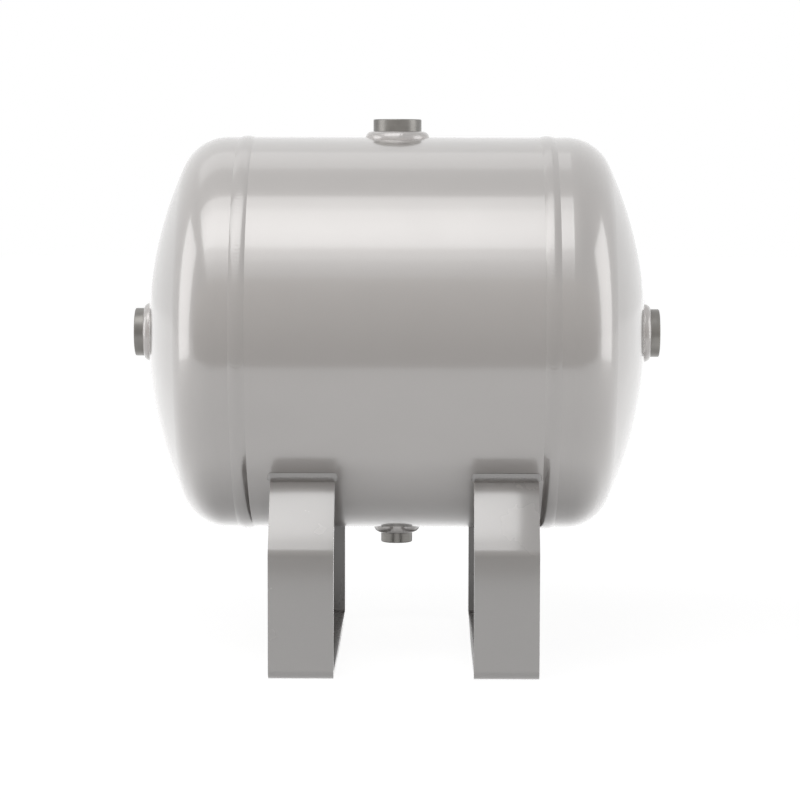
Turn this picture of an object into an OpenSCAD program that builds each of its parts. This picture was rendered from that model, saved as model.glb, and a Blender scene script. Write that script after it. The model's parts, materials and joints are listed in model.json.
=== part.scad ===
/* [Shell] */
// Outer diameter of the shell and of the two heads
shell_d = 220; // [190:1:240]
// Wall thickness of the shell and of the heads
wall = 2.5; // [2:0.1:4]
// Height of the tank's axis above the floor
axis_h = 180; // [172:1:220]

/* [Heads] */
// Outer radius of a head's shallow crown
crown_r = 224; // [190:1:280]
// Outer radius of the knuckle between crown and flange
knuckle_r = 26; // [20:1:36]
// Straight flange of a head, from the middle of its girth weld
flange_l = 11; // [8:0.5:30]

/* [Seam welds] */
// Width of a girth weld's cap
girth_cap_w = 8.5; // [6:0.5:12]
// Height of a girth weld's cap above the plate
girth_cap_h = 0.8; // [0.4:0.1:1.5]
// Width of the cap of the weld along the shell
long_cap_w = 6.5; // [5.5:0.5:10]
// Height of the cap of the weld along the shell
long_cap_h = 0.6; // [0.3:0.1:1.2]
// Gap between the bevelled plate edges at the root of a weld
root_gap = 1.2; // [0.8:0.1:1.6]
// Bevel of each plate edge
bevel_angle = 28; // [15:1:30]
// Where the weld along the shell lies, up from the level of the axis at the rear
long_weld_angle = 35; // [10:1:55]

/* [Ports] */
// Outer diameter of the top port and of the end ports
port_d = 27; // [25:0.5:31]
// Bore of the top port and of the end ports, at the crests of the thread
port_bore = 18.6; // [16:0.1:19]
// How far the top port stands above the shell
top_stand = 10; // [8:0.5:20]
// How far an end port stands out past the crown of its head
end_stand = 8.3; // [6.5:0.1:20]
// Outer diameter of the drain port under the shell
drain_d = 17.6; // [16.6:0.1:24]
// Bore of the drain port, at the crests of the thread
drain_bore = 11.4; // [9:0.1:12]
// How far the drain port stands out below the shell
drain_stand = 9.2; // [8:0.1:20]
// How far each port reaches inside the wall
port_inset = 3; // [2:0.5:8]
// Chamfer round the outer rim of a port
rim_chamfer = 0.6; // [0.3:0.1:1]
// Chamfer round the mouth of a bore
mouth_chamfer = 1.1; // [0.5:0.1:1.6]
// Gap all round between a port and the hole that it is welded into
hole_gap = 0.15; // [0.05:0.05:0.5]

/* [Port welds] */
// Leg of the top port's weld along the shell
top_weld_leg = 4.4; // [3:0.1:6]
// Height of the top port's weld up the port
top_weld_h = 3.2; // [2:0.1:5]
// Leg of an end port's weld along the head
end_weld_leg = 2.8; // [2:0.1:5]
// Height of an end port's weld up the port
end_weld_h = 3.3; // [2:0.1:5]
// Leg of the drain port's weld along the shell
drain_weld_leg = 4.2; // [3:0.1:6]
// Height of the drain port's weld up the port
drain_weld_h = 3.7; // [2:0.1:5]
// How far the face of a port's weld swells past a flat face
port_weld_swell = 0.8; // [0.3:0.1:0.9]

/* [Feet] */
// Width of the flat strip that each foot is bent from
strip_w = 35; // [25:1:45]
// Thickness of the strip
strip_t = 4; // [3:0.5:6]
// Distance between the middles of the two feet
foot_span = 110; // [90:1:160]
// How far the pair of feet stands to the right of the shell's middle
foot_shift = 5; // [-5:0.5:5]
// Gap between the cap of a girth weld and the welds of the foot next to it
foot_seam_gap = 0.55; // [0.05:0.05:30]
// Depth of a foot over its front and rear legs
foot_depth = 209; // [180:1:216]
// Height of the upright legs, from the floor to the bend
leg_h = 68.6; // [50:0.1:76]
// Lean of the arms above the bend, from upright
arm_lean = 33; // [28:1:40]
// Inner radius of the bend between leg and arm
arm_bend_r = 4.5; // [2:0.5:8]
// Inner radius of the bend between leg and base
base_bend_r = 1.5; // [1:0.5:6]
// Diameter of the two bolt holes in the base of a foot
bolt_d = 9; // [6:0.5:13]
// Distance between the two bolt holes of a foot
bolt_span = 150; // [100:1:160]

/* [Foot welds] */
// Leg of a foot's weld up the shell
foot_weld_shell_leg = 5.2; // [3:0.1:7]
// Leg of a foot's weld down the arm
foot_weld_arm_leg = 1.6; // [1:0.1:4]
// How far the face of a foot's weld swells past a flat face
foot_weld_swell = 1.1; // [0.5:0.1:1.4]
// How far a foot's weld runs past each edge of the strip
foot_weld_run = 1.7; // [0.5:0.1:2]

/* [Hidden] */
$fn = 144;
// Sides of a wide circle where a thin weld meets it
wide_fn = 720;
// Spare length by which a cutter runs past what it cuts
past = 1;

shell_r = shell_d / 2;
// The shell is as long as the feet between its girth welds need
foot_reach = foot_span / 2 + abs(foot_shift) + strip_w / 2 + foot_weld_run;
seam_x = foot_reach + foot_seam_gap + girth_cap_w / 2;
seam_span = 2 * seam_x;

// A head's outline: the knuckle's arc runs into the crown's arc without a corner
knuckle_off = shell_r - knuckle_r;
crown_half_angle = asin(knuckle_off / (crown_r - knuckle_r));
crown_y = flange_l - (crown_r - knuckle_r) * cos(crown_half_angle);
head_l = crown_y + crown_r;

top_port_l = top_stand + wall + port_inset;
end_port_l = end_stand + wall + port_inset;
drain_port_l = drain_stand + wall + port_inset;

left_foot_x = foot_shift - foot_span / 2;
right_foot_x = foot_shift + foot_span / 2;

// Where the outer face of an arm meets the shell, in the rear half
arm_dir = [-sin(arm_lean), cos(arm_lean)];
bend_at = [foot_depth / 2, leg_h - axis_h];
bend_run = bend_at * arm_dir;
arm_l = -bend_run - sqrt(bend_run ^ 2 - bend_at * bend_at + shell_r ^ 2);
arm_end = bend_at + arm_l * arm_dir;

paint = [0.76, 0.75, 0.73];
bead_paint = [0.70, 0.69, 0.67];
bare_steel = [0.50, 0.49, 0.46];

// Radius of an arc that spans a chord and swells past it
function swell_radius(chord, swell) = (chord ^ 2 / 4 + swell ^ 2) / (2 * swell);

module along_x() {
    translate([0, 0, axis_h]) rotate([0, 90, 0]) children();
}

// A section drawn in the plane across the tank, run along the tank for a length
module across_tank(length) {
    translate([-length / 2, 0, axis_h]) rotate([90, 0, 90]) linear_extrude(length) children();
}

module solid_shell() {
    along_x() cylinder(r = shell_r, h = seam_span, center = true);
}

// The solid outline of a head, each surface moved in by inset
module dish_2d(inset, below = 0) {
    reach = 2 * crown_r;
    translate([0, -below]) square([shell_r - inset, flange_l + below]);
    intersection() {
        translate([knuckle_off, flange_l]) circle(r = knuckle_r - inset);
        translate([knuckle_off, flange_l]) square(knuckle_r);
    }
    intersection() {
        translate([0, crown_y]) circle(r = crown_r - inset, $fn = wide_fn);
        translate([0, crown_y]) polygon([
            [0, 0],
            [reach * sin(crown_half_angle), reach * cos(crown_half_angle)],
            [0, reach]
        ]);
        square([shell_r, head_l + past]);
    }
}

// The bevelled groove between two plate edges, with its middle on the X axis
module groove_2d(outer_r) {
    face = root_gap / 2 + wall * tan(bevel_angle);
    polygon([
        [shell_r - wall - past, -root_gap / 2],
        [shell_r - wall, -root_gap / 2],
        [shell_r, -face],
        [outer_r, -face],
        [outer_r, face],
        [shell_r, face],
        [shell_r - wall, root_gap / 2],
        [shell_r - wall - past, root_gap / 2]
    ]);
}

// The circle whose top is the arched cap of a weld
module cap_2d(cap_w, cap_h) {
    cap_r = swell_radius(cap_w, cap_h);
    translate([shell_r + cap_h - cap_r, 0]) circle(r = cap_r);
}

module girth_weld(side) {
    color(bead_paint) translate([side * seam_x, 0, 0]) along_x() rotate_extrude() {
        intersection() {
            groove_2d(shell_r);
            translate([shell_r - wall, -seam_x]) square([wall, seam_span]);
        }
        intersection() {
            cap_2d(girth_cap_w, girth_cap_h);
            translate([shell_r, -girth_cap_w]) square(2 * girth_cap_w);
        }
    }
}

module girth_groove(side) {
    translate([side * seam_x, 0, 0]) along_x() rotate_extrude() groove_2d(shell_r + past);
}

// The weld along the rolled shell: its cap ends where the caps of the girth welds begin
module long_seam_weld() {
    color(bead_paint) difference() {
        union() {
            across_tank(seam_span) rotate(long_weld_angle) intersection() {
                groove_2d(shell_r + past);
                wall_ring_2d();
            }
            across_tank(seam_span - girth_cap_w) rotate(long_weld_angle) difference() {
                union() {
                    groove_2d(shell_r);
                    cap_2d(long_cap_w, long_cap_h);
                }
                difference() {
                    circle(r = shell_r, $fn = wide_fn);
                    groove_2d(shell_r + past);
                }
                circle(r = shell_r - wall, $fn = wide_fn);
            }
        }
        girth_groove(-1);
        girth_groove(1);
    }
}

module wall_ring_2d() {
    difference() {
        circle(r = shell_r, $fn = wide_fn);
        circle(r = shell_r - wall, $fn = wide_fn);
    }
}

module shell() {
    color(paint) difference() {
        solid_shell();
        along_x() cylinder(r = shell_r - wall, h = seam_span + 2 * past, center = true);
        girth_groove(-1);
        girth_groove(1);
        across_tank(seam_span + 2 * past) rotate(long_weld_angle) groove_2d(shell_r + past);
        port_hole_up(port_d);
        mirror_down() port_hole_up(drain_d);
    }
}

module port_hole_up(d) {
    translate([0, 0, axis_h + shell_r / 2]) cylinder(d = d + 2 * hole_gap, h = shell_r);
}

// Turns what stands on top of the tank to hang under it
module mirror_down() {
    translate([0, 0, 2 * axis_h]) mirror([0, 0, 1]) children();
}

module head(side) {
    color(paint) difference() {
        translate([side * seam_x, 0, 0]) along_x() mirror([0, 0, side < 0 ? 1 : 0])
            rotate_extrude() difference() {
                dish_2d(0);
                dish_2d(wall, past);
                translate([0, flange_l]) square([port_d / 2 + hole_gap, head_l]);
            }
        girth_groove(side);
    }
}

// A turned port with its inner end at the origin and its mouth up
module port(d, bore, length) {
    color(bare_steel) rotate_extrude() polygon([
        [bore / 2, 0],
        [d / 2, 0],
        [d / 2, length - rim_chamfer],
        [d / 2 - rim_chamfer, length],
        [bore / 2 + mouth_chamfer, length],
        [bore / 2, length - mouth_chamfer]
    ]);
}

module top_port() {
    translate([0, 0, axis_h + shell_r + top_stand - top_port_l]) port(port_d, port_bore, top_port_l);
}

module drain_port() {
    mirror_down() translate([0, 0, axis_h + shell_r + drain_stand - drain_port_l])
        port(drain_d, drain_bore, drain_port_l);
}

module end_port(side) {
    mirror([side < 0 ? 1 : 0, 0, 0]) translate([seam_x + head_l + end_stand - end_port_l, 0, 0])
        along_x() port(port_d, port_bore, end_port_l);
}

// The section of a ring weld round a port, on a face at height 0 that falls away by drop
module fillet_2d(port_r, leg, height, drop) {
    chord = norm([leg, height]);
    face_r = swell_radius(chord, port_weld_swell);
    face_dir = [height, leg] / chord;
    intersection() {
        translate([port_r + leg / 2, height / 2] - (face_r - port_weld_swell) * face_dir) circle(r = face_r);
        translate([port_r, -drop]) square([leg + height + drop, height + drop]);
    }
}

// A ring weld on the curved side of the shell, as it stands on top
module saddle_weld(d, leg, height) {
    reach = d / 2 + leg + past;
    drop = shell_r - sqrt(shell_r ^ 2 - reach ^ 2) + past;
    color(bead_paint) difference() {
        translate([0, 0, axis_h + shell_r]) rotate_extrude() fillet_2d(d / 2, leg, height, drop);
        solid_shell();
    }
}

module end_port_weld(side) {
    reach = port_d / 2 + end_weld_leg + past;
    drop = crown_r - sqrt(crown_r ^ 2 - reach ^ 2) + past;
    color(bead_paint) mirror([side < 0 ? 1 : 0, 0, 0]) translate([seam_x, 0, 0]) along_x()
        rotate_extrude() difference() {
            translate([0, head_l]) fillet_2d(port_d / 2, end_weld_leg, end_weld_h, drop);
            dish_2d(0);
        }
}

// What a rounded bend leaves off a sharp corner that turns by turn at the origin
module bend_waste_2d(radius, turn) {
    run = radius * tan(turn / 2);
    difference() {
        polygon([[0, 0], [0, -run], [-radius, -run], run * [-sin(turn), cos(turn)]]);
        translate([-radius, -run]) circle(r = radius);
    }
}

// The rear half of a foot's outline, each face moved in by inset, filled to the middle
module half_foot_2d(inset) {
    half = foot_depth / 2 - inset;
    base_r = base_bend_r + strip_t - inset;
    arm_r = arm_bend_r + strip_t - inset;
    bend_z = leg_h - inset * tan(arm_lean / 2);
    rise = axis_h - bend_z;
    difference() {
        polygon([
            [-past, inset],
            [half, inset],
            [half, bend_z],
            [half - rise * tan(arm_lean), axis_h],
            [-past, axis_h]
        ]);
        translate([half, inset]) rotate(-90) bend_waste_2d(base_r, 90);
        translate([half, bend_z]) bend_waste_2d(arm_r, arm_lean);
    }
}

module foot_2d() {
    difference() {
        foot_outline_2d(0);
        foot_outline_2d(strip_t);
        translate([0, axis_h]) circle(r = shell_r);
    }
}

module foot_outline_2d(inset) {
    half_foot_2d(inset);
    mirror([1, 0]) half_foot_2d(inset);
}

module foot(x) {
    color(paint) translate([x, 0, 0]) difference() {
        translate([-strip_w / 2, 0, 0]) rotate([90, 0, 90]) linear_extrude(strip_w) foot_2d();
        for (side = [-1, 1])
            translate([0, side * bolt_span / 2, -past]) cylinder(d = bolt_d, h = strip_t + 2 * past);
    }
}

// The section of a foot's weld, in the corner between the rear arm's face and the shell
module foot_weld_2d() {
    up_shell = [-arm_end[1], arm_end[0]] / shell_r;
    arm_toe = arm_end - foot_weld_arm_leg * arm_dir;
    shell_toe = arm_end + foot_weld_shell_leg * up_shell;
    chord = shell_toe - arm_toe;
    face_dir = [chord[1], -chord[0]] / norm(chord);
    face_r = swell_radius(norm(chord), foot_weld_swell);
    reach = 2 * norm(chord);
    difference() {
        intersection() {
            translate((arm_toe + shell_toe) / 2 - (face_r - foot_weld_swell) * face_dir) circle(r = face_r);
            translate(arm_end) rotate(arm_lean) translate([0, -reach]) square([reach, 2 * reach]);
        }
        circle(r = shell_r);
    }
}

module foot_weld(x, side) {
    color(bead_paint) translate([x, 0, 0]) mirror([0, side < 0 ? 1 : 0, 0])
        across_tank(strip_w + 2 * foot_weld_run) foot_weld_2d();
}

shell();
head(-1);  // left_head
head(1);  // right_head
girth_weld(-1);  // left_girth_weld
girth_weld(1);  // right_girth_weld
long_seam_weld();
top_port();
drain_port();
end_port(-1);  // left_port
end_port(1);  // right_port
saddle_weld(port_d, top_weld_leg, top_weld_h);  // top_port_weld
mirror_down() saddle_weld(drain_d, drain_weld_leg, drain_weld_h);  // drain_port_weld
end_port_weld(-1);  // left_port_weld
end_port_weld(1);  // right_port_weld
foot(left_foot_x);  // left_foot
foot(right_foot_x);  // right_foot
foot_weld(left_foot_x, -1);  // left_foot_front_weld
foot_weld(left_foot_x, 1);  // left_foot_rear_weld
foot_weld(right_foot_x, -1);  // right_foot_front_weld
foot_weld(right_foot_x, 1);  // right_foot_rear_weld
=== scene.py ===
"""Looks of a small compressed air tank: painted shell, weld beads, bent feet and threaded ports."""

import json
import math

import bpy
from bpy.props import FloatProperty, FloatVectorProperty, IntProperty, PointerProperty
from mathutils import Matrix, Vector


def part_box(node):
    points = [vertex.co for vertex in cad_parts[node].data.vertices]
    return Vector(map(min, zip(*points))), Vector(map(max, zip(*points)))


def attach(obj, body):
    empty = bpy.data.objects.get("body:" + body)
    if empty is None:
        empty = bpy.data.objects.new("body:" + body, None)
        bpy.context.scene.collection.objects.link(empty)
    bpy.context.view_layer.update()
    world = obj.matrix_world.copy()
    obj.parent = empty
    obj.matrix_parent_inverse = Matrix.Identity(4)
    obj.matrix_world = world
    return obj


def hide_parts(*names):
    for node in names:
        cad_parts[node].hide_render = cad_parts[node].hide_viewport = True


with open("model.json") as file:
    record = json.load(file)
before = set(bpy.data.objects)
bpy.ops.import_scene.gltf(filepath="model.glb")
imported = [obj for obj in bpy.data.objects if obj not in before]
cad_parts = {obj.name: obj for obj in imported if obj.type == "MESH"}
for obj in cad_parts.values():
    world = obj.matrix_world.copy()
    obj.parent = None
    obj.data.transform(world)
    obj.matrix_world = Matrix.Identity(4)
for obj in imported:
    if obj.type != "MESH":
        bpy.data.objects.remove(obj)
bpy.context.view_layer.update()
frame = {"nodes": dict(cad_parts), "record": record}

bl_info = {
    "name": "Compressed air tank",
    "version": (1, 0, 0),
    "blender": (4, 5, 0),
    "location": "View3D > Sidebar > Air Tank",
    "description": "Builds the weld beads, feet, ports, paint and studio of a compressed air tank",
    "category": "Add Mesh",
}

MM = 0.001
MERGE = 0.002 * MM
BODY = "root"
PAINTED_NODES = ("shell", "left_head", "right_head")
SIDES = {"left": -1, "right": 1}
ENDS = {"front": -1, "rear": 1}

# Columns of mesh for each ripple of a bead
GIRTH_COLUMNS = 6
LONG_COLUMNS = 8
RING_COLUMNS = 10
FOOT_COLUMNS = 12

# Steps of mesh across the face of a bead, round the rim of a port and round a strip's edge
GIRTH_STEPS = 16
LONG_STEPS = 14
RING_STEPS = 14
RIM_STEPS = 5
EDGE_STEPS = 4

# Rows of mesh round a foot's weld, and the share of them on its face
FOOT_WELD_ROWS = 24
FACE_SHARE = 0.75

# Rows of mesh for each turn of a thread, and how its groove falls: the slope of the flanks, and
# what the flat crest takes off them, both in depths of the groove
ROWS_PER_TURN = 8
FLANK_SLOPE = 2.6
CREST_FLAT = 0.15

# Bends in a surface that are sharper than this stay sharp when it is shaded smooth
BEAD_SHARP = math.radians(50)
PORT_SHARP = math.radians(35)
FOOT_SHARP = math.radians(30)

# A foot's faces that meet at less than the first are one flat, and at more than the second an edge
FLAT_ANGLE = math.radians(0.5)
EDGE_ANGLE = math.radians(60)

# Nearly all values of a noise texture lie in this range
NOISE_RANGE = (0.3, 0.7)

# How far in front of a foot's face the point within its loop lies, as a negative length: up to
# the first the painted shade on the inner faces is full, and from the second on there is none
INSIDE_SHADE_REACH = (-0.02, -0.005)

# Parts of the softboxes above the tank and behind it: name, front edge, rear edge, share of
# the top light's brightness
TOP_SOFTBOX = (
    ("top softbox, far front", -2.0, -1.45, 0.17),
    ("top softbox, fading front", -1.45, -1.22, 0.27),
    ("top softbox, near front", -1.22, -0.94, 0.48),
    ("top softbox, front", -0.94, -0.5, 1.0),
    ("top softbox, middle", -0.5, -0.3, 0.9),
    ("top softbox, rear", -0.3, -0.1, 0.62),
    ("softbox behind", 0.42, 1.0, 0.2),
)

# How white the floor glows to the camera and in reflections: two distances from a line under the
# tank, and the brightness at each of them. In reflections the dimmer glow near the tank is a
# painted shadow under it
SEEN_REACH = (0.2, 0.7)
SEEN_GLOW = (0.92, 1.0)
MIRRORED_REACH = (0.02, 0.12)
MIRRORED_GLOW = (0.6, 1.18)

# How bright the card in front of the tank is in reflections, at its foot and at its top
CARD_GLOW = (0.78, 1.05)


def middle(node):
    """The middle of a CAD node's box."""
    low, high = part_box(node)
    return (low + high) / 2


def extent(node):
    """The size of a CAD node's box."""
    low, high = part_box(node)
    return high - low


def bore_radius(port):
    """Radius of a port's bore at the crests of its thread, from the record."""
    mount = next(m for m in frame["record"]["mounts"] if m["name"] == port + "_thread")
    return mount["dims"]["r_mm"] * MM


SHELL_R = extent("shell").y / 2
AXIS_H = middle("shell").z
AXIS = Vector((0, 0, AXIS_H))

# Height of the point within a foot's loop that its inner faces look in on
LOOP_H = AXIS_H / 3


# Sizes and colours

class TankPaint(bpy.types.PropertyGroup):
    """The silver-grey paint on the shell, heads, feet and welds."""

    colour: FloatVectorProperty(
        name="Paint colour", description="Colour of the paint", subtype="COLOR",
        default=(0.63, 0.595, 0.573), min=0, max=1)
    weld_shade: FloatProperty(
        name="Weld shade", description="How light the paint over welds is, against the shell's",
        default=0.96)
    foot_shade: FloatProperty(
        name="Foot shade", description="How light the paint on the feet is, against the shell's",
        default=0.8)
    # Darker than the shell's paint: painted shade for the dark reflection on the feet's welds
    foot_weld_painted_shade: FloatProperty(
        name="Foot weld shade",
        description="How light the paint over the feet's welds is, against the shell's",
        default=0.86)
    # Share of colour and skin kept on the inner faces of the feet, where painted shade darkens them
    painted_inside_shade: FloatProperty(
        name="Inner shade",
        description="Share of paint and skin that reaches the inner faces of the feet",
        default=0.36)
    roughness: FloatProperty(
        name="Roughness", description="Roughness of the paint under its skin", default=0.34)
    weld_roughness: FloatProperty(
        name="Weld roughness", description="Roughness of the paint over welds", default=0.36)
    foot_roughness: FloatProperty(
        name="Foot roughness", description="Roughness of the paint on the feet", default=0.26)
    flake: FloatProperty(
        name="Flake", description="Share of metal flake in the shell's paint", default=0.22)
    foot_flake: FloatProperty(
        name="Foot flake", description="Share of metal flake in the paint on the feet", default=0.1)
    ior: FloatProperty(
        name="Paint IOR", description="Index of refraction of the paint", default=1.5)
    skin_roughness: FloatProperty(
        name="Skin roughness", description="Roughness of the paint's clear skin", default=0.12)
    skin_ior: FloatProperty(
        name="Skin IOR", description="Index of refraction of the paint's clear skin", default=2.1)
    peel_size: FloatProperty(
        name="Orange peel size", description="Distance between the low waves in the paint",
        default=2.6 * MM, unit="LENGTH")
    peel_height: FloatProperty(
        name="Orange peel height", description="Height of the low waves in the paint",
        default=0.004 * MM, unit="LENGTH")


class TankWelds(bpy.types.PropertyGroup):
    """The weld beads under the paint."""

    girth_ripple: FloatProperty(
        name="Girth weld ripple",
        description="Distance between the ripples of the machine-made welds",
        default=2.4 * MM, unit="LENGTH")
    girth_ripple_h: FloatProperty(
        name="Girth weld ripple height",
        description="Height of the ripples of the machine-made welds",
        default=0.035 * MM, unit="LENGTH")
    hand_ripple: FloatProperty(
        name="Hand weld ripple",
        description="Distance between the ripples of the welds made by hand",
        default=1.9 * MM, unit="LENGTH")
    hand_ripple_h: FloatProperty(
        name="Hand weld ripple height",
        description="Height of the ripples of the welds made by hand",
        default=0.06 * MM, unit="LENGTH")
    long_cap_w: FloatProperty(
        name="Long weld width", description="Width of the cap of the weld along the shell",
        default=6.5 * MM, unit="LENGTH")
    long_cap_h: FloatProperty(
        name="Long weld height", description="Height of the cap of the weld along the shell",
        default=0.6 * MM, unit="LENGTH")
    ring_swell: FloatProperty(
        name="Ring swell", description="How far the face of a port's weld swells past a flat face",
        default=1.15 * MM, unit="LENGTH")
    crown_r: FloatProperty(
        name="Crown radius",
        description="Radius of a head's crown, where the end ports are welded on",
        default=224 * MM, unit="LENGTH")
    ripple_bow: FloatProperty(
        name="Ripple bow",
        description="How far a ripple trails behind at the toes, in ripple lengths",
        default=1.2)
    sink: FloatProperty(
        name="Sink",
        description="How far the hidden side of a bead reaches into the plates it joins",
        default=0.25 * MM, unit="LENGTH")


class TankPorts(bpy.types.PropertyGroup):
    """The turned and threaded ports."""

    facets: IntProperty(
        name="Facets", description="Sides of a port all round", default=128)
    half_inch_pitch: FloatProperty(
        name="Half inch pitch", description="Pitch of the G 1/2 thread in the top and end ports",
        default=1.814 * MM, unit="LENGTH")
    quarter_inch_pitch: FloatProperty(
        name="Quarter inch pitch", description="Pitch of the G 1/4 thread in the drain port",
        default=1.337 * MM, unit="LENGTH")
    thread_depth: FloatProperty(
        name="Thread depth", description="Depth of a thread, as a share of its pitch", default=0.56)
    mouth_chamfer: FloatProperty(
        name="Mouth chamfer", description="Chamfer round the mouth of a bore",
        default=1.1 * MM, unit="LENGTH")
    rim_round: FloatProperty(
        name="Rim round", description="Rounding of the outer rim of a port",
        default=0.6 * MM, unit="LENGTH")
    colour: FloatVectorProperty(
        name="Steel colour", description="Colour of the bare steel", subtype="COLOR",
        default=(0.21, 0.203, 0.192), min=0, max=1)
    roughness: FloatProperty(
        name="Steel roughness", description="Roughness of the bare steel", default=0.33)
    mark_depth: FloatProperty(
        name="Mark depth", description="Depth of the turning marks",
        default=0.02 * MM, unit="LENGTH")


class TankFeet(bpy.types.PropertyGroup):
    """The bent strip feet and the welds that hold them."""

    edge_round: FloatProperty(
        name="Edge round", description="Rounding of the strip's rolled edges",
        default=0.8 * MM, unit="LENGTH")
    leg_h: FloatProperty(
        name="Leg height", description="Height of the upright legs, from the floor to the bend",
        default=68.6 * MM, unit="LENGTH")
    arm_lean: FloatProperty(
        name="Arm lean", description="Lean of the arms above the bend, from upright",
        default=math.radians(33), unit="ROTATION")
    shell_leg: FloatProperty(
        name="Shell leg", description="Leg of a foot's weld up the shell",
        default=5.2 * MM, unit="LENGTH")
    arm_leg: FloatProperty(
        name="Arm leg", description="Leg of a foot's weld down the arm",
        default=1.2 * MM, unit="LENGTH")
    weld_swell: FloatProperty(
        name="Weld swell", description="How far a foot's weld swells past a flat face",
        default=0.6 * MM, unit="LENGTH")
    weld_end: FloatProperty(
        name="Weld end", description="Length of the rounded end of a foot's weld",
        default=2.2 * MM, unit="LENGTH")


class TankStudio(bpy.types.PropertyGroup):
    """Camera, lamps and floor."""

    camera_at: FloatVectorProperty(
        name="Camera place", description="Where the camera stands", subtype="TRANSLATION",
        default=(0.0174, -1.5366, 0.2714))
    pan: FloatProperty(
        name="Pan", description="Turn of the camera to the left", default=0.0102, unit="ROTATION")
    tilt: FloatProperty(
        name="Tilt", description="Turn of the camera upwards", default=-0.0843, unit="ROTATION")
    roll: FloatProperty(
        name="Roll", description="Turn of the camera about its own line of sight",
        default=-0.0021, unit="ROTATION")
    lens: FloatProperty(
        name="Lens", description="Focal length in millimetres", default=122.24)
    sensor: FloatProperty(
        name="Sensor", description="Width of the camera's sensor in millimetres", default=36)
    top_light: FloatProperty(
        name="Top light", description="Brightness of the softbox above the tank", default=1.75)
    top_height: FloatProperty(
        name="Top height", description="Height of the softbox above the floor",
        default=1.35, unit="LENGTH")
    top_width: FloatProperty(
        name="Top width", description="Width of the softbox along the tank",
        default=1.12, unit="LENGTH")
    top_shift: FloatProperty(
        name="Top shift",
        description="How far the softbox's middle lies to the left of the tank's",
        default=0.34, unit="LENGTH")
    side_light: FloatProperty(
        name="Side light", description="Brightness of the softbox beside each head", default=1.3)
    side_at: FloatVectorProperty(
        name="Side place",
        description="Where the softbox beside the right head hangs, and the left one in mirror",
        subtype="TRANSLATION", default=(0.99, -0.15, 0.45))
    side_size: FloatVectorProperty(
        name="Side size", description="Width and height of the softbox beside a head",
        size=2, default=(0.6, 0.9), unit="LENGTH")
    room_light: FloatProperty(
        name="Room light", description="Strength of the light from all round", default=0.03)
    floor_size: FloatProperty(
        name="Floor size", description="Side of the square floor", default=14, unit="LENGTH")
    floor_grey: FloatProperty(
        name="Floor grey", description="Grey that the floor's shadows fall on", default=0.28)
    floor_roughness: FloatProperty(
        name="Floor roughness", description="Roughness of the floor", default=0.9)
    under_half: FloatProperty(
        name="Under half",
        description="Half the length of the line under the tank that the floor brightens from",
        default=0.1, unit="LENGTH")
    card_at: FloatVectorProperty(
        name="Card place", description="Where the card in front of the tank stands",
        subtype="TRANSLATION", default=(0.05, -0.66, 0.3))
    card_size: FloatVectorProperty(
        name="Card size", description="Width and height of the card in front of the tank",
        size=2, default=(2.0, 0.6), unit="LENGTH")
    card_colour: FloatVectorProperty(
        name="Card colour", description="Colour of the card in front of the tank",
        subtype="COLOR", default=(1, 0.98, 0.96), min=0, max=1)


# Modelling by hand

def start_piece():
    """Go back to object mode with nothing selected, so that an operator acts on its own piece."""
    if bpy.context.mode != "OBJECT":
        bpy.ops.object.mode_set(mode="OBJECT")
    bpy.ops.object.select_all(action="DESELECT")


def pick(piece):
    """Select one piece and make it the active one."""
    start_piece()
    piece.select_set(True)
    bpy.context.view_layer.objects.active = piece


def edit_all():
    """Open the active piece for editing, with all of it selected."""
    bpy.ops.object.mode_set(mode="EDIT")
    bpy.ops.mesh.select_all(action="SELECT")


def end_edit():
    """Close the active piece again."""
    bpy.ops.object.mode_set(mode="OBJECT")


def close_mesh():
    """Merge what meets and point every face outwards."""
    edit_all()
    bpy.ops.mesh.remove_doubles(threshold=MERGE)
    bpy.ops.mesh.normals_make_consistent(inside=False)
    end_edit()


def add_grid(columns, rows):
    """A flat sheet from -1 to 1 both ways."""
    start_piece()
    bpy.ops.mesh.primitive_grid_add(x_subdivisions=columns, y_subdivisions=rows, size=2)
    return bpy.context.object


def draw_outline(points):
    """Put down one point and extrude it to each of the next points in turn."""
    start_piece()
    bpy.ops.mesh.primitive_plane_add(size=MM, location=points[0])
    edit_all()
    bpy.ops.mesh.merge(type="CENTER")
    for here, there in zip(points, points[1:]):
        bpy.ops.mesh.extrude_region_move(TRANSFORM_OT_translate={"value": there - here})
    end_edit()
    return bpy.context.object


def roll_ring(section, facets):
    """A ring round the upright axis: a sheet rolled up both ways, onto a closed section."""
    count = len(section)
    ring = add_grid(facets, count)

    def rolled(point):
        angle = math.pi * point.x
        radius, height = section[round((point.y + 1) / 2 * count) % count]
        return Vector((radius * math.cos(angle), radius * math.sin(angle), height))

    shape_points(ring, rolled)
    close_mesh()
    return ring


def place_piece(piece, place, turn):
    """Turn a piece drawn at the origin and move it to its place, both in the mesh."""
    piece.data.transform(Matrix.Translation(place) @ turn.to_4x4())


def shape_points(piece, shape):
    """Move every point of a piece to where the shape function says."""
    for vertex in piece.data.vertices:
        vertex.co = shape(vertex.co)
    piece.data.update()


def thicken(piece, thickness):
    """Give a sheet a closed back."""
    pick(piece)
    edit_all()
    bpy.ops.mesh.normals_make_consistent(inside=False)
    end_edit()
    wall = piece.modifiers.new("Back", "SOLIDIFY")
    wall.thickness = thickness
    bpy.ops.object.modifier_apply(modifier=wall.name)


def smooth(piece, sharp_angle):
    """Shade a piece smooth, apart from its sharp bends."""
    pick(piece)
    bpy.ops.object.shade_smooth_by_angle(angle=sharp_angle)


def finish_piece(piece, name, material, slot, *nodes):
    """Name a finished piece, paint it and let it stand for its CAD nodes."""
    piece.name = name
    piece.data.name = name
    piece.data.materials.clear()
    piece.data.materials.append(bpy.data.materials[material])
    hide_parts(*nodes)
    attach(piece, BODY)


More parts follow.
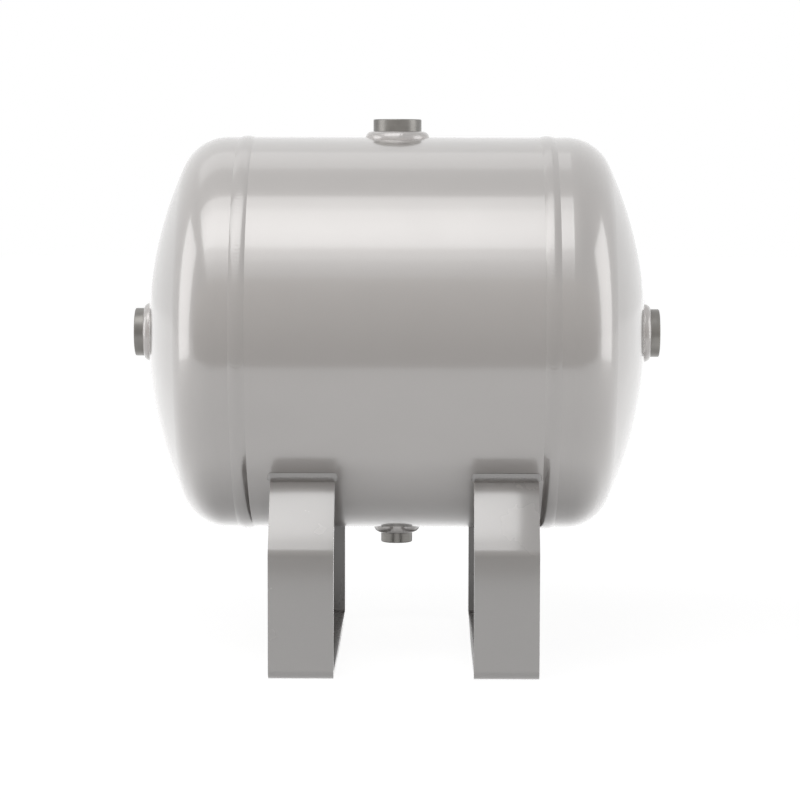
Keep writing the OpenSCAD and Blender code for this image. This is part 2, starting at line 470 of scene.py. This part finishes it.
def arc(centre, radius, start, end, steps):
    """Points of (radius, height) round an arc, from one angle to another."""
    turns = [start + (end - start) * step / steps for step in range(steps + 1)]
    return [(centre[0] + radius * math.cos(a), centre[1] + radius * math.sin(a)) for a in turns]


def swell_radius(chord, swell):
    """Radius of an arc that spans a chord and swells past it."""
    return (chord ** 2 / 4 + swell ** 2) / (2 * swell)


def ripple_cut(along, across, length, height, bow):
    """How far a bead's ripples cut in, as a negative height.

    Their backs are round and their valleys sharp. They trail and fade towards the toes, where
    across is -1 and 1.
    """
    wave = abs(math.sin(math.pi * (along / length - bow * across ** 2)))
    return height * (1 - across ** 2) * (wave - 1)


# Shader groups and materials

def new_group(name, inputs):
    """A shader node group that gives colour, roughness and height over the surface.

    Its inputs are a vector, a colour and the given numbers, each with its default.
    """
    group = bpy.data.node_groups.new(name, "ShaderNodeTree")
    sockets = group.interface
    sockets.new_socket(name="Vector", in_out="INPUT", socket_type="NodeSocketVector")
    sockets.new_socket(name="Color", in_out="INPUT", socket_type="NodeSocketColor")
    for label, value in inputs.items():
        socket = sockets.new_socket(name=label, in_out="INPUT", socket_type="NodeSocketFloat")
        socket.default_value = value
    sockets.new_socket(name="Color", in_out="OUTPUT", socket_type="NodeSocketColor")
    sockets.new_socket(name="Roughness", in_out="OUTPUT", socket_type="NodeSocketFloat")
    sockets.new_socket(name="Height", in_out="OUTPUT", socket_type="NodeSocketFloat")
    return group, group.nodes.new("NodeGroupInput"), group.nodes.new("NodeGroupOutput")


def noise(tree, vector, scale, detail):
    """A noise texture, whose scale is a number or another node's output."""
    node = tree.nodes.new("ShaderNodeTexNoise")
    node.inputs["Detail"].default_value = detail
    tree.links.new(vector, node.inputs["Vector"])
    if isinstance(scale, (int, float)):
        node.inputs["Scale"].default_value = scale
    else:
        tree.links.new(scale, node.inputs["Scale"])
    return node.outputs["Fac"]


def spread(tree, value, source, target):
    """Map a value from one range to another, and hold it inside."""
    node = tree.nodes.new("ShaderNodeMapRange")
    for index, limit in enumerate((*source, *target), start=1):
        node.inputs[index].default_value = limit
    tree.links.new(value, node.inputs["Value"])
    return node.outputs["Result"]


def calculate(tree, operation, first, second=0):
    """A math node on two values, each a number or another node's output."""
    node = tree.nodes.new("ShaderNodeMath")
    node.operation = operation
    for index, value in enumerate((first, second)):
        if isinstance(value, (int, float)):
            node.inputs[index].default_value = value
        else:
            tree.links.new(value, node.inputs[index])
    return node.outputs["Value"]


def vector_math(tree, operation, first, second=None):
    """A vector math node on a node's output and, if given, a constant or another output."""
    node = tree.nodes.new("ShaderNodeVectorMath")
    node.operation = operation
    tree.links.new(first, node.inputs[0])
    if isinstance(second, tuple):
        node.inputs[1].default_value = second
    elif second is not None:
        tree.links.new(second, node.inputs[1])
    return node


def split_axes(tree, vector):
    """The X, Y and Z of a vector."""
    node = tree.nodes.new("ShaderNodeSeparateXYZ")
    tree.links.new(vector, node.inputs["Vector"])
    return node.outputs


def join_axes(tree, parts):
    """A vector from the given X, Y or Z, and 0 for the rest."""
    node = tree.nodes.new("ShaderNodeCombineXYZ")
    for axis, value in parts.items():
        tree.links.new(value, node.inputs[axis])
    return node.outputs["Vector"]


def tinted(tree, colour, factor):
    """Multiply a colour by a grey factor."""
    node = vector_math(tree, "SCALE", colour)
    tree.links.new(factor, node.inputs["Scale"])
    return node.outputs["Vector"]


def paint_film_group():
    """Sprayed paint: soft cloudiness in colour and roughness, fine grain and orange peel."""
    group, given, result = new_group("Paint film", {"Peel scale": 400, "Roughness": 0.3})
    where = given.outputs["Vector"]
    clouds = spread(group, noise(group, where, scale=14, detail=3), NOISE_RANGE, (0.975, 1.02))
    grain = spread(group, noise(group, where, scale=2600, detail=2), NOISE_RANGE, (0.985, 1.015))
    shade = calculate(group, "MULTIPLY", clouds, grain)
    group.links.new(tinted(group, given.outputs["Color"], shade), result.inputs["Color"])
    patches = spread(group, noise(group, where, scale=30, detail=4), NOISE_RANGE, (-0.03, 0.03))
    uneven = calculate(group, "ADD", given.outputs["Roughness"], patches)
    group.links.new(uneven, result.inputs["Roughness"])
    peel = noise(group, where, scale=given.outputs["Peel scale"], detail=2)
    wave_height = 6
    waves = calculate(group, "MULTIPLY", noise(group, where, scale=45, detail=1), wave_height)
    group.links.new(calculate(group, "ADD", peel, waves), result.inputs["Height"])
    return group


def turned_steel_group():
    """Turned bare steel: fine rings round the lathe's axis, faint stains, brighter high spots."""
    group, given, result = new_group("Turning marks", {"Roughness": 0.3})
    where = given.outputs["Vector"]
    place = split_axes(group, where)
    flat = join_axes(group, {"X": place["X"], "Y": place["Y"]})
    radius = vector_math(group, "LENGTH", flat).outputs["Value"]
    feed = join_axes(group, {"X": radius, "Z": place["Z"]})
    rings = noise(group, feed, scale=5200, detail=3)
    stains = noise(group, where, scale=130, detail=4)
    shade = calculate(group, "MULTIPLY", spread(group, rings, NOISE_RANGE, (0.9, 1.08)),
                      spread(group, stains, NOISE_RANGE, (0.86, 1.08)))
    group.links.new(tinted(group, given.outputs["Color"], shade), result.inputs["Color"])
    patches = spread(group, rings, NOISE_RANGE, (-0.06, 0.06))
    uneven = calculate(group, "ADD", given.outputs["Roughness"], patches)
    group.links.new(uneven, result.inputs["Roughness"])
    group.links.new(rings, result.inputs["Height"])
    return group


def new_material(name):
    """A material, with its node tree and its surface shader."""
    material = bpy.data.materials.new(name)
    material.use_nodes = True
    return material, material.node_tree, material.node_tree.nodes["Principled BSDF"]


def place_effect(tree, group, vector, colour, settings):
    """Put a shader group into a material, with this material's own values."""
    effect = tree.nodes.new("ShaderNodeGroup")
    effect.node_tree = group
    tree.links.new(vector, effect.inputs["Vector"])
    effect.inputs["Color"].default_value = (*colour, 1)
    for label, value in settings.items():
        effect.inputs[label].default_value = value
    return effect


def wire_effect(tree, effect, surface, height, strength):
    """Feed a group's colour, roughness and height to the surface."""
    tree.links.new(effect.outputs["Color"], surface.inputs["Base Color"])
    tree.links.new(effect.outputs["Roughness"], surface.inputs["Roughness"])
    bump = tree.nodes.new("ShaderNodeBump")
    bump.inputs["Distance"].default_value = height
    bump.inputs["Strength"].default_value = strength
    tree.links.new(effect.outputs["Height"], bump.inputs["Height"])
    tree.links.new(bump.outputs["Normal"], surface.inputs["Normal"])


def paint_material(name, group, paint, shade, roughness, flake):
    """Semi-gloss paint with a clear, smooth skin over a softer body."""
    material, tree, surface = new_material(name)
    spot = tree.nodes.new("ShaderNodeTexCoord")
    colour = [channel * shade for channel in paint.colour]
    effect = place_effect(tree, group, spot.outputs["Object"], colour,
                          {"Peel scale": 1 / paint.peel_size, "Roughness": roughness})
    wire_effect(tree, effect, surface, height=paint.peel_height, strength=0.5)
    surface.inputs["IOR"].default_value = paint.ior
    surface.inputs["Metallic"].default_value = flake
    surface.inputs["Coat Weight"].default_value = 1.0
    surface.inputs["Coat Roughness"].default_value = paint.skin_roughness
    surface.inputs["Coat IOR"].default_value = paint.skin_ior
    return material


def paint_shade_inside(material, share):
    """Painted shade: darker colour and less skin on faces that look in on the middle of a foot's
    loop.
    """
    tree = material.node_tree
    surface = tree.nodes["Principled BSDF"]
    spot = tree.nodes.new("ShaderNodeTexCoord")
    from_loop = vector_math(tree, "SUBTRACT", spot.outputs["Object"], (0, 0, LOOP_H))
    across = vector_math(tree, "MULTIPLY", from_loop.outputs["Vector"], (0, 1, 1))
    facing = vector_math(tree, "DOT_PRODUCT", across.outputs["Vector"], spot.outputs["Normal"])
    # Share of colour and skin left on each face: faces that look in on the loop get painted shade
    left = spread(tree, facing.outputs["Value"], INSIDE_SHADE_REACH, (share, 1.0))
    painted = surface.inputs["Base Color"].links[0].from_socket
    tree.links.new(tinted(tree, painted, left), surface.inputs["Base Color"])
    tree.links.new(left, surface.inputs["Coat Weight"])


def steel_material(name, group, ports, turn, centre):
    """Bare turned steel, with its rings about an axis that the mapping turns upright."""
    material, tree, surface = new_material(name)
    spot = tree.nodes.new("ShaderNodeTexCoord")
    lathe = tree.nodes.new("ShaderNodeMapping")
    lathe.vector_type = "TEXTURE"
    lathe.inputs["Location"].default_value = centre
    lathe.inputs["Rotation"].default_value = turn
    tree.links.new(spot.outputs["Object"], lathe.inputs["Vector"])
    effect = place_effect(tree, group, lathe.outputs["Vector"], ports.colour,
                          {"Roughness": ports.roughness})
    wire_effect(tree, effect, surface, height=ports.mark_depth, strength=0.4)
    surface.inputs["Metallic"].default_value = 1.0
    return material


class TANK_OT_finishes(bpy.types.Operator):
    """Mix the paint and steel, and paint the shell and heads."""

    bl_idname = "tank.finishes"
    bl_label = "Paint and Steel"

    def execute(self, context):
        paint = context.scene.tank_paint
        ports = context.scene.tank_ports
        film = paint_film_group()
        marks = turned_steel_group()
        body_paint = paint_material(
            "Silver-grey paint", film, paint, 1.0, paint.roughness, paint.flake)
        paint_material(
            "Paint over welds", film, paint, paint.weld_shade, paint.weld_roughness, paint.flake)
        feet_paint = paint_material("Darker paint on feet, painted shade inside", film, paint, paint.foot_shade,
                                    paint.foot_roughness, paint.foot_flake)
        # The feet's welds get darker paint: painted shade for the dark reflection on them
        paint_material(
            "Darker paint over foot welds, painted shade", film, paint, paint.foot_weld_painted_shade, paint.weld_roughness, 0)
        # Painted shade on the feet's inner faces, where shadow falls under the tank
        paint_shade_inside(feet_paint, paint.painted_inside_shade)
        steel_material("Turned steel, upright", marks, ports, (0, 0, 0), (0, 0, 0))
        steel_material("Turned steel, lying", marks, ports, (0, math.pi / 2, 0), AXIS)
        for node in PAINTED_NODES:
            frame["nodes"][node].data.materials.clear()
            frame["nodes"][node].data.materials.append(body_paint)
        return {"FINISHED"}


# Welds between shell and heads, and along the shell

class TANK_OT_girth_welds(bpy.types.Operator):
    """Make the two welds between the shell and its heads."""

    bl_idname = "tank.girth_welds"
    bl_label = "Girth Welds"

    def execute(self, context):
        for side in SIDES:
            self.make_bead(context.scene.tank_welds, side)
        return {"FINISHED"}

    def make_bead(self, welds, side):
        """One bead, rolled up round the tank and then rippled."""
        node = side + "_girth_weld"
        seam_x = middle(node).x
        half_w = extent(node).x / 2
        cap_h = extent(node).z / 2 - SHELL_R
        cap_r = swell_radius(2 * half_w, cap_h)
        half_angle = math.asin(half_w / cap_r)
        cap = arc((SHELL_R + cap_h - cap_r, 0), cap_r, -half_angle, half_angle, GIRTH_STEPS)
        root = [(SHELL_R - welds.sink, half_w), (SHELL_R - welds.sink, -half_w)]
        ripples = round(2 * math.pi * SHELL_R / welds.girth_ripple)
        bead = roll_ring(cap + root, ripples * GIRTH_COLUMNS)
        place_piece(bead, AXIS + Vector((seam_x, 0, 0)), Matrix.Rotation(math.pi / 2, 3, "Y"))

        def rippled(point):
            away = Vector((0, point.y, point.z - AXIS_H))
            if away.length < SHELL_R + MERGE:
                return point
            across = (point.x - seam_x) / half_w
            along = math.atan2(away.y, away.z) * SHELL_R
            lift = ripple_cut(along, across, welds.girth_ripple, welds.girth_ripple_h,
                              welds.ripple_bow)
            return point + away.normalized() * lift

        shape_points(bead, rippled)
        smooth(bead, BEAD_SHARP)
        finish_piece(bead, side + "_girth_bead", "Paint over welds", "painted_weld", node)


class TANK_OT_long_weld(bpy.types.Operator):
    """Make the weld along the rolled shell, at the rear."""

    bl_idname = "tank.long_weld"
    bl_label = "Weld Along the Shell"

    def execute(self, context):
        welds = context.scene.tank_welds
        spot = middle("long_seam_weld") - AXIS
        lie = math.atan2(spot.y, spot.z)
        toes_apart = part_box("right_girth_weld")[0].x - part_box("left_girth_weld")[1].x
        under_girth = extent("right_girth_weld").x / 4
        half_l = toes_apart / 2 + under_girth
        half_w, cap_h = welds.long_cap_w / 2, welds.long_cap_h
        cap_r = swell_radius(2 * half_w, cap_h)
        ripples = round(2 * half_l / welds.girth_ripple)
        bead = add_grid(ripples * LONG_COLUMNS, LONG_STEPS)

        def placed(point):
            across = point.y
            along = point.x * half_l
            arch = math.sqrt(cap_r ** 2 - (across * half_w) ** 2) - (cap_r - cap_h)
            cut = ripple_cut(along, across, welds.girth_ripple, welds.girth_ripple_h,
                             welds.ripple_bow)
            edge = abs(across) > 1 - MERGE or abs(point.x) > 1 - MERGE
            reach = SHELL_R + (-welds.sink if edge else arch + cut)
            angle = lie + across * half_w / SHELL_R
            return Vector((along, reach * math.sin(angle), AXIS_H + reach * math.cos(angle)))

        shape_points(bead, placed)
        thicken(bead, welds.sink)
        smooth(bead, BEAD_SHARP)
        finish_piece(bead, "long_bead", "Paint over welds", "painted_weld", "long_seam_weld")
        return {"FINISHED"}


# Ports and the welds round them

def port_places():
    """For each port: its inner end, the turn that brings it from upright, length and radius."""
    half_turn = math.pi / 2
    turns = {
        "top_port": Matrix.Identity(3),
        "drain_port": Matrix.Rotation(math.pi, 3, "X"),
        "left_port": Matrix.Rotation(-half_turn, 3, "Y"),
        "right_port": Matrix.Rotation(half_turn, 3, "Y"),
    }
    places = {}
    for name, turn in turns.items():
        way = turn @ Vector((0, 0, 1))
        size = extent(name)
        length = abs(size.dot(way))
        radius = max(size - length * Vector(map(abs, way))) / 2
        places[name] = (middle(name) - way * length / 2, turn, length, radius)
    return places


def head_reach(port):
    """How far the crown of a head stands from the tank's middle."""
    low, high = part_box(port.replace("port", "head"))
    return max(abs(low.x), abs(high.x))


class TANK_OT_ports(bpy.types.Operator):
    """Turn the four ports and cut their threads."""

    bl_idname = "tank.ports"
    bl_label = "Threaded Ports"

    def execute(self, context):
        ports = context.scene.tank_ports
        for name, (base, turn, length, radius) in port_places().items():
            small = name == "drain_port"
            pitch = ports.quarter_inch_pitch if small else ports.half_inch_pitch
            body = self.turn_body(ports, name, length, radius)
            thread = self.cut_thread(ports, name, length, pitch)
            pick(body)
            thread.select_set(True)
            bpy.ops.object.join()
            close_mesh()
            place_piece(body, base, turn)
            smooth(body, PORT_SHARP)
            lying = name in ("left_port", "right_port")
            finish = "Turned steel, lying" if lying else "Turned steel, upright"
            finish_piece(body, name + "_socket", finish, "bare_steel", name)
        return {"FINISHED"}

    def turn_body(self, ports, name, length, radius):
        """The outside of a port, open where the thread's surface closes it."""
        mouth_r = bore_radius(name) + ports.mouth_chamfer
        rim = arc((radius - ports.rim_round, length - ports.rim_round), ports.rim_round,
                  math.pi / 2, 0, RIM_STEPS)
        outline = [(mouth_r, length)] + rim + [(radius, 0), (mouth_r, 0)]
        piece = draw_outline([Vector((r, 0, z)) for r, z in outline])
        edit_all()
        bpy.ops.mesh.spin(
            steps=ports.facets, angle=2 * math.pi, center=(0, 0, 0), axis=(0, 0, 1))
        end_edit()
        bpy.ops.object.transform_apply(location=True, rotation=True, scale=True)
        return piece

    def cut_thread(self, ports, name, length, pitch):
        """The bore's wall: a sheet whose rows follow the thread's helix, rolled into a tube."""
        crest_r = bore_radius(name)
        mouth_r = crest_r + ports.mouth_chamfer
        depth = ports.thread_depth * pitch
        rows = (math.ceil(length / pitch) + 1) * ROWS_PER_TURN
        sheet = add_grid(ports.facets, rows)

        def on_helix(point):
            turn = (point.x + 1) / 2
            row = round((point.y + 1) / 2 * rows)
            height = (row / ROWS_PER_TURN - 1 + turn) * pitch
            step = row % ROWS_PER_TURN / ROWS_PER_TURN
            groove = min(1, max(0, FLANK_SLOPE * (0.5 - abs(step - 0.5)) - CREST_FLAT))
            height = min(length, max(0, height))
            cone = mouth_r - min(height, length - height)
            radius = min(mouth_r, max(crest_r + depth * groove, cone))
            if height in (0, length):
                radius = mouth_r
            angle = 2 * math.pi * turn
            return Vector((radius * math.cos(angle), radius * math.sin(angle), height))

        shape_points(sheet, on_helix)
        return sheet


class TANK_OT_port_welds(bpy.types.Operator):
    """Lay the ring welds round the ports, down onto the curved shell and heads."""

    bl_idname = "tank.port_welds"
    bl_label = "Port Welds"

    def execute(self, context):
        welds = context.scene.tank_welds
        for name, (_, turn, _, radius) in port_places().items():
            node = name + "_weld"
            upright = name in ("top_port", "drain_port")
            way = turn @ Vector((0, 0, 1))
            size = extent(node)
            leg = (size.x if upright else size.z) / 2 - radius
            foot_at = AXIS + way * (SHELL_R if upright else head_reach(name))
            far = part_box(node)[1] if way.x + way.z > 0 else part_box(node)[0]
            height = abs((far - foot_at).dot(way))
            self.lay_ring(welds, node, foot_at, turn, radius, leg, height, upright)
        return {"FINISHED"}

    def lay_ring(self, welds, node, foot_at, turn, radius, leg, height, on_shell):
        """One ring weld, drawn upright at the origin and moved to its port."""
        chord = math.hypot(leg, height)
        face_r = swell_radius(chord, welds.ring_swell)
        out = Vector((height, leg)) / chord
        middle_r = radius + leg / 2
        centre = Vector((middle_r, height / 2)) - (face_r - welds.ring_swell) * out
        lean = math.atan2(out.y, out.x)
        half = math.asin(chord / 2 / face_r)
        face = arc(centre, face_r, lean - half, lean + half, RING_STEPS)
        back = [(radius - welds.sink, height), (radius - welds.sink, -welds.sink),
                (radius + leg, -welds.sink)]
        ripples = round(2 * math.pi * middle_r / welds.hand_ripple)
        ring = roll_ring(face + back, ripples * RING_COLUMNS)
        crown_r = welds.crown_r

        def settled(point):
            away = Vector((point.x, point.y, 0))
            share = min(1, max(0, point.z / height))
            along = math.atan2(point.y, point.x) * middle_r
            on_face = away.length > radius and point.z > 0
            lift = ripple_cut(along, 2 * share - 1, welds.hand_ripple, welds.hand_ripple_h,
                              welds.ripple_bow) if on_face else 0
            grown = point + (away.normalized() * out.x + Vector((0, 0, out.y))) * lift
            if on_shell:
                drop = SHELL_R - math.sqrt(SHELL_R ** 2 - grown.y ** 2)
            else:
                drop = crown_r - math.sqrt(crown_r ** 2 - grown.x ** 2 - grown.y ** 2)
            grown.z -= drop * (1 - share)
            return grown

        shape_points(ring, settled)
        place_piece(ring, foot_at, turn)
        smooth(ring, BEAD_SHARP)
        finish_piece(ring, node + "_bead", "Paint over welds", "painted_weld", node)


# Feet and their welds

class TANK_OT_feet(bpy.types.Operator):
    """Round the rolled edges of the two strip feet."""

    bl_idname = "tank.feet"
    bl_label = "Strip Feet"

    def execute(self, context):
        for side in SIDES:
            node = side + "_foot"
            foot = bpy.data.objects.new(node, frame["nodes"][node].data.copy())
            context.scene.collection.objects.link(foot)
            pick(foot)
            bpy.ops.mesh.customdata_custom_splitnormals_clear()
            edit_all()
            bpy.ops.mesh.remove_doubles(threshold=MERGE)
            bpy.ops.mesh.dissolve_limited(angle_limit=FLAT_ANGLE)
            end_edit()
            edge = foot.modifiers.new("Rolled edge", "BEVEL")
            edge.limit_method = "ANGLE"
            edge.angle_limit = EDGE_ANGLE
            edge.width = context.scene.tank_feet.edge_round
            edge.segments = EDGE_STEPS
            bpy.ops.object.modifier_apply(modifier=edge.name)
            smooth(foot, FOOT_SHARP)
            finish_piece(foot, side + "_strip_foot", "Darker paint on feet, painted shade inside", "painted_steel", node)
        return {"FINISHED"}


class TANK_OT_foot_welds(bpy.types.Operator):
    """Lay the welds between the feet's arms and the shell."""

    bl_idname = "tank.foot_welds"
    bl_label = "Foot Welds"

    def execute(self, context):
        for side in SIDES:
            for end, sign in ENDS.items():
                self.lay_bead(context.scene, side + "_foot", end, sign)
        return {"FINISHED"}

    def lay_bead(self, scene, foot, end, sign):
        """One bead: its face from the arm up to the shell, and its back in the corner."""
        feet = scene.tank_feet
        welds = scene.tank_welds
        node = f"{foot}_{end}_weld"
        half_l = extent(node).x / 2
        foot_x = middle(node).x
        root = self.corner(foot, feet)
        down_arm = Vector((math.sin(feet.arm_lean), -math.cos(feet.arm_lean)))
        up_shell = Vector((-root.y, root.x)).normalized()
        arm_toe = root + down_arm * feet.arm_leg
        shell_toe = root + up_shell * feet.shell_leg
        chord = shell_toe - arm_toe
        out = Vector((chord.y, -chord.x)).normalized()
        sunk = out * welds.sink
        seat = root - sunk
        ripples = round(2 * half_l / welds.hand_ripple)
        bead = add_grid(ripples * FOOT_COLUMNS, FOOT_WELD_ROWS)

        def placed(point):
            along = point.x * half_l
            past = max(0, abs(along) - (half_l - feet.weld_end)) / feet.weld_end
            fullness = math.sqrt(max(0, 1 - past ** 2))
            step = (point.y + 1) / 2
            if step <= FACE_SHARE:
                share = step / FACE_SHARE
                across = 2 * share - 1
                cut = ripple_cut(along, across, welds.hand_ripple, welds.hand_ripple_h,
                                 welds.ripple_bow)
                rise = feet.weld_swell * (1 - across ** 2) + cut
                spot = arm_toe + chord * share + out * rise
            else:
                share = (step - FACE_SHARE) / (1 - FACE_SHARE)
                ends = (shell_toe - sunk, seat, arm_toe - sunk)
                first, second = ends[:2] if share <= 0.5 else ends[1:]
                spot = first.lerp(second, share * 2 % 1 if share < 1 else 1)
            spot = seat + (spot - seat) * fullness
            return Vector((foot_x + along, sign * spot.x, AXIS_H + spot.y))

        shape_points(bead, placed)
        pick(bead)
        close_mesh()
        smooth(bead, BEAD_SHARP)
        finish_piece(bead, node + "_bead", "Darker paint over foot welds, painted shade", "painted_weld", node)

    def corner(self, foot, feet):
        """Where the outer face of an arm meets the shell, across the tank from its axis."""
        bend = Vector((extent(foot).y / 2, feet.leg_h - AXIS_H))
        up_arm = Vector((-math.sin(feet.arm_lean), math.cos(feet.arm_lean)))
        run = bend.dot(up_arm)
        return bend + up_arm * (-run - math.sqrt(run ** 2 - bend.length_squared + SHELL_R ** 2))


# Studio

class TANK_OT_studio(bpy.types.Operator):
    """Set the camera, floor, lamps, card and room round the tank."""

    bl_idname = "tank.studio"
    bl_label = "Studio"

    def execute(self, context):
        studio = context.scene.tank_studio
        self.set_camera(context, studio)
        self.lay_floor(studio)
        self.hang_lamps(studio)
        self.stand_card(studio)
        self.paint_room(context, studio)
        context.scene.view_settings.view_transform = "Standard"
        return {"FINISHED"}

    def set_camera(self, context, studio):
        """Stand the camera where the photo was taken from."""
        data = bpy.data.cameras.new("camera")
        data.lens = studio.lens
        data.sensor_width = studio.sensor
        camera = bpy.data.objects.new("camera", data)
        context.scene.collection.objects.link(camera)
        level = Matrix.Rotation(math.pi / 2, 4, "X")
        turn = Matrix.Rotation(studio.pan, 4, "Z") @ Matrix.Rotation(studio.tilt, 4, "X")
        turn = turn @ Matrix.Rotation(studio.roll, 4, "Y") @ level
        camera.matrix_world = Matrix.Translation(studio.camera_at) @ turn
        context.scene.camera = camera

    def lay_floor(self, studio):
        """A white floor that takes shadows, dimmer close to the tank: a painted shadow in
        reflections.
        """
        start_piece()
        bpy.ops.mesh.primitive_plane_add(size=studio.floor_size)
        floor = bpy.context.object
        floor.name = "floor"
        material, tree, surface = new_material("White floor")
        grey = studio.floor_grey
        surface.inputs["Base Color"].default_value = (grey, grey, grey, 1)
        surface.inputs["Roughness"].default_value = studio.floor_roughness
        surface.inputs["Specular IOR Level"].default_value = 0.0
        surface.inputs["Emission Color"].default_value = (1, 1, 1, 1)
        path = tree.nodes.new("ShaderNodeLightPath")
        spot = tree.nodes.new("ShaderNodeTexCoord")
        place = split_axes(tree, spot.outputs["Object"])
        beside = calculate(tree, "ABSOLUTE", place["X"])
        beside = calculate(tree, "SUBTRACT", beside, studio.under_half)
        beside = calculate(tree, "MAXIMUM", beside, 0)
        away = join_axes(tree, {"X": beside, "Y": place["Y"]})
        reach = vector_math(tree, "LENGTH", away).outputs["Value"]
        seen = calculate(tree, "MULTIPLY", path.outputs["Is Camera Ray"],
                         spread(tree, reach, SEEN_REACH, SEEN_GLOW))
        # In reflections the floor's glow is dimmer close to the tank: a painted shadow under it
        mirrored = calculate(tree, "MULTIPLY", path.outputs["Is Glossy Ray"],
                             spread(tree, reach, MIRRORED_REACH, MIRRORED_GLOW))
        glow = calculate(tree, "ADD", seen, mirrored)
        tree.links.new(glow, surface.inputs["Emission Strength"])
        floor.data.materials.append(material)

    def hang_lamps(self, studio):
        """Graded softboxes above and in front of the tank, a dim one behind, one at each head."""
        for name, front, back, share in TOP_SOFTBOX:
            place = Vector((-studio.top_shift, (front + back) / 2, studio.top_height))
            size = (studio.top_width, back - front)
            self.add_lamp(name, size, place, place - Vector((0, 0, 1)), studio.top_light * share)
        for side, sign in SIDES.items():
            place = Vector(studio.side_at)
            place.x *= sign
            self.add_lamp(side + " softbox", studio.side_size, place, AXIS, studio.side_light)

    def add_lamp(self, name, size, place, aim, brightness):
        """A soft lamp that reflections see and the camera doesn't.

        At a brightness of 1 it is as bright as a white card.
        """
        data = bpy.data.lights.new(name, "AREA")
        data.shape = "RECTANGLE"
        data.size, data.size_y = size
        data.energy = math.pi * size[0] * size[1] * brightness
        lamp = bpy.data.objects.new(name, data)
        bpy.context.scene.collection.objects.link(lamp)
        lamp.location = place
        lamp.rotation_euler = (aim - place).to_track_quat("-Z", "Y").to_euler()
        lamp.visible_camera = False

    def stand_card(self, studio):
        """A card in front of the tank that only reflections see, dimmer towards the floor."""
        start_piece()
        bpy.ops.mesh.primitive_plane_add(
            size=1, location=studio.card_at, rotation=(math.pi / 2, 0, 0))
        card = bpy.context.object
        card.name = "front card"
        card.scale = (*studio.card_size, 1)
        card.visible_camera = False
        card.visible_diffuse = False
        card.visible_shadow = False
        card.visible_transmission = False
        material, tree, surface = new_material("Front card")
        surface.inputs["Base Color"].default_value = (0, 0, 0, 1)
        surface.inputs["Specular IOR Level"].default_value = 0.0
        surface.inputs["Emission Color"].default_value = (*studio.card_colour, 1)
        spot = tree.nodes.new("ShaderNodeTexCoord")
        up_card = split_axes(tree, spot.outputs["Object"])["Y"]
        glow = spread(tree, up_card, (-0.5, 0.5), CARD_GLOW)
        tree.links.new(glow, surface.inputs["Emission Strength"])
        card.data.materials.append(material)

    def paint_room(self, context, studio):
        """A room that looks white to the camera and in reflections, and lights the tank little."""
        world = bpy.data.worlds.new("White room")
        context.scene.world = world
        world.use_nodes = True
        tree = world.node_tree
        room = tree.nodes["Background"]
        path = tree.nodes.new("ShaderNodeLightPath")
        seen = calculate(
            tree, "MAXIMUM", path.outputs["Is Camera Ray"], path.outputs["Is Glossy Ray"])
        seen = calculate(tree, "MAXIMUM", seen, path.outputs["Is Transmission Ray"])
        strength = spread(tree, seen, (0, 1), (studio.room_light, 1.0))
        tree.links.new(strength, room.inputs["Strength"])
        room.inputs["Color"].default_value = (1, 1, 1, 1)


class TANK_PT_panel(bpy.types.Panel):
    """Lists the steps that build the tank's looks."""

    bl_label = "Compressed Air Tank"
    bl_idname = "TANK_PT_panel"
    bl_space_type = "VIEW_3D"
    bl_region_type = "UI"
    bl_category = "Air Tank"

    def draw(self, context):
        for step in STEPS:
            self.layout.operator(step.bl_idname)


SETTINGS = {
    "tank_paint": TankPaint,
    "tank_welds": TankWelds,
    "tank_ports": TankPorts,
    "tank_feet": TankFeet,
    "tank_studio": TankStudio,
}
STEPS = (
    TANK_OT_finishes, TANK_OT_girth_welds, TANK_OT_long_weld, TANK_OT_ports,
    TANK_OT_port_welds, TANK_OT_feet, TANK_OT_foot_welds, TANK_OT_studio,
)


def register():
    for cls in (*SETTINGS.values(), *STEPS, TANK_PT_panel):
        bpy.utils.register_class(cls)
    for name, cls in SETTINGS.items():
        setattr(bpy.types.Scene, name, PointerProperty(type=cls))


def unregister():
    for name in SETTINGS:
        delattr(bpy.types.Scene, name)
    for cls in reversed((*SETTINGS.values(), *STEPS, TANK_PT_panel)):
        bpy.utils.unregister_class(cls)


def main():
    register()
    bpy.ops.tank.finishes()
    bpy.ops.tank.girth_welds()
    bpy.ops.tank.long_weld()
    bpy.ops.tank.ports()
    bpy.ops.tank.port_welds()
    bpy.ops.tank.feet()
    bpy.ops.tank.foot_welds()
    bpy.ops.tank.studio()


if __name__ == "__main__":
    main()
